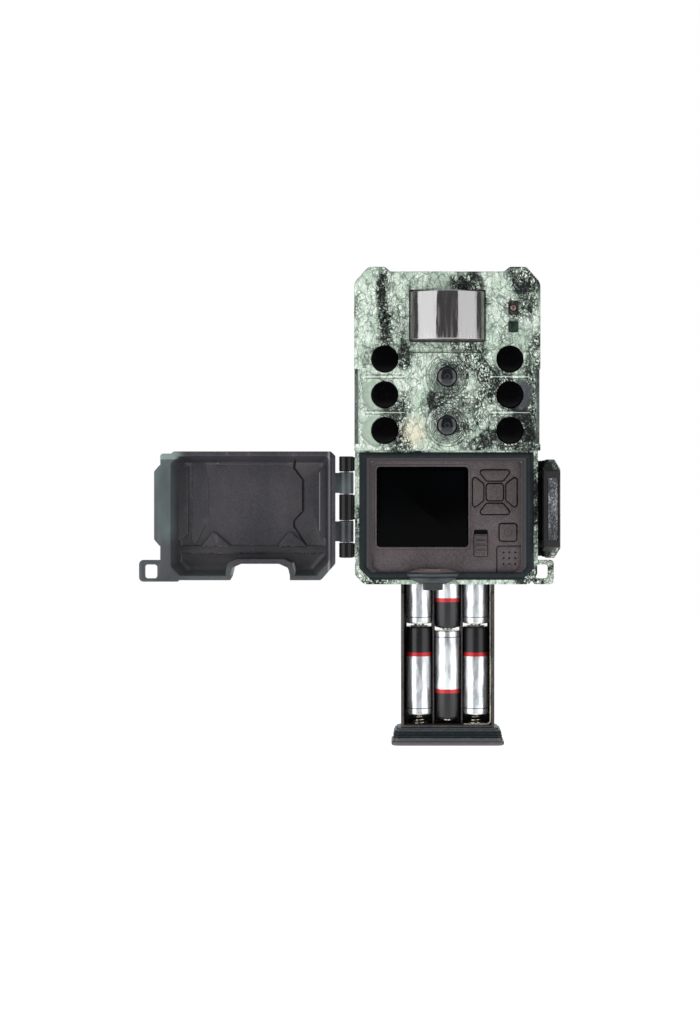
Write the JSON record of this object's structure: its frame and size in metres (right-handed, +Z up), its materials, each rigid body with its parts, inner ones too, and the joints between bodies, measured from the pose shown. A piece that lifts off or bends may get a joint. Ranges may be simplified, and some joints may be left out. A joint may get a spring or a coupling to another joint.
{
  "type": "trail camera",
  "caption": "Tree-strapped wildlife camera: two-shell case with motion sensor, lenses and lamps, hinged door over a screen and keys, side latch and pull-down battery tray.",
  "frame": {"origin": "centre of the flat pad on the back that bears on the tree", "axes": "+Y out of the back towards the tree, +Z up along the case, +X to the right seen from the front; lenses face -Y"},
  "size_m": [0.2301, 0.0725, 0.2612],
  "materials": {
    "camo_plastic": "printed bark camouflage on moulded shell",
    "brown_plastic": "fine moulded texture",
    "black_plastic": "satin",
    "slate_plastic": "satin",
    "seal_rubber": "matt",
    "lens_cover": "glossy, smoked",
    "dark_window": "polished",
    "red_window": "polished",
    "green_window": "polished",
    "lens_glass": "coated",
    "circuit_board": "solder mask",
    "steel": "plated",
    "brass": "turned",
    "cell_wrap": "printed wrap"
  },
  "bodies": {
    "case": {"front_housing": "camo_plastic", "rear_housing": "camo_plastic", "housing_gasket": "seal_rubber", "compartment_seal": "seal_rubber", "pir_lens": "lens_cover", "pir_sensor": "steel", "lens_barrel_upper": "black_plastic", "lens_barrel_lower": "black_plastic", "lens_glass_upper": "lens_glass", "lens_glass_lower": "lens_glass", "light_sensor": "red_window", "status_lamp": "green_window", "microphone": "black_plastic", "sensor_board": "circuit_board", "main_board": "circuit_board", "control_panel": "brown_plastic", "lcd_window": "dark_window", "lcd_module": "black_plastic", "speaker": "black_plastic", "battery_sleeve": "black_plastic", "tripod_insert": "brass", "hinge_pin": "steel", "latch_pin": "steel", "ir_window_left_upper": "dark_window", "ir_window_left_middle": "dark_window", "ir_window_left_lower": "dark_window", "ir_window_right_upper": "dark_window", "ir_window_right_middle": "dark_window", "ir_window_right_lower": "dark_window", "housing_screw_1": "steel", "housing_screw_2": "steel", "housing_screw_3": "steel", "housing_screw_4": "steel"},
    "door": {"door": "brown_plastic"},
    "latch": {"latch": "black_plastic"},
    "battery_tray": {"battery_tray": "brown_plastic", "tray_cap": "slate_plastic", "tray_seal": "seal_rubber", "contact_strip": "steel", "battery_1": "cell_wrap", "battery_2": "cell_wrap", "battery_3": "cell_wrap", "battery_4": "cell_wrap", "battery_5": "cell_wrap", "battery_6": "cell_wrap", "contact_spring_left": "steel", "contact_spring_middle": "steel", "contact_spring_right": "steel"},
    "power_switch": {"power_switch": "brown_plastic"},
    "tray_release": {"tray_release": "slate_plastic"},
    "button_up": {"button_up": "brown_plastic"},
    "button_down": {"button_down": "brown_plastic"},
    "button_left": {"button_left": "brown_plastic"},
    "button_right": {"button_right": "brown_plastic"},
    "button_ok": {"button_ok": "brown_plastic"},
    "button_capture": {"button_capture": "brown_plastic"}
  },
  "joints": [
    {"name": "door_hinge", "type": "hinge", "parent": "case", "child": "door", "pos_m": [-0.0547, -0.0436, -0.04835], "axis": [0, 0, 1], "range_deg": [0, 180]},
    {"name": "latch_hinge", "type": "hinge", "parent": "case", "child": "latch", "pos_m": [0.0555, -0.036, -0.0445], "axis": [0, 0, 1], "range_deg": [-20, 80]},
    {"name": "tray_slide", "type": "slide", "parent": "case", "child": "battery_tray", "axis": [0, 0, 1], "range_m": [-0.036, 0.0869]},
    {"name": "tray_release_press", "type": "slide", "parent": "case", "child": "tray_release", "axis": [0, 1, 0], "range_m": [0, 0.0018], "stiffness_N_per_m": 400},
    {"name": "power_switch_slide", "type": "slide", "parent": "case", "child": "power_switch", "axis": [0, 0, 1], "range_m": [0, 0.0023]},
    {"name": "button_up_press", "type": "slide", "parent": "case", "child": "button_up", "axis": [0, 1, 0], "range_m": [0, 0.0007], "stiffness_N_per_m": 300},
    {"name": "button_down_press", "type": "slide", "parent": "case", "child": "button_down", "axis": [0, 1, 0], "range_m": [0, 0.0007], "stiffness_N_per_m": 300},
    {"name": "button_left_press", "type": "slide", "parent": "case", "child": "button_left", "axis": [0, 1, 0], "range_m": [0, 0.0007], "stiffness_N_per_m": 300},
    {"name": "button_right_press", "type": "slide", "parent": "case", "child": "button_right", "axis": [0, 1, 0], "range_m": [0, 0.0007], "stiffness_N_per_m": 300},
    {"name": "button_ok_press", "type": "slide", "parent": "case", "child": "button_ok", "axis": [0, 1, 0], "range_m": [0, 0.0007], "stiffness_N_per_m": 300},
    {"name": "button_capture_press", "type": "slide", "parent": "case", "child": "button_capture", "axis": [0, 1, 0], "range_m": [0, 0.0007], "stiffness_N_per_m": 300}
  ]
}
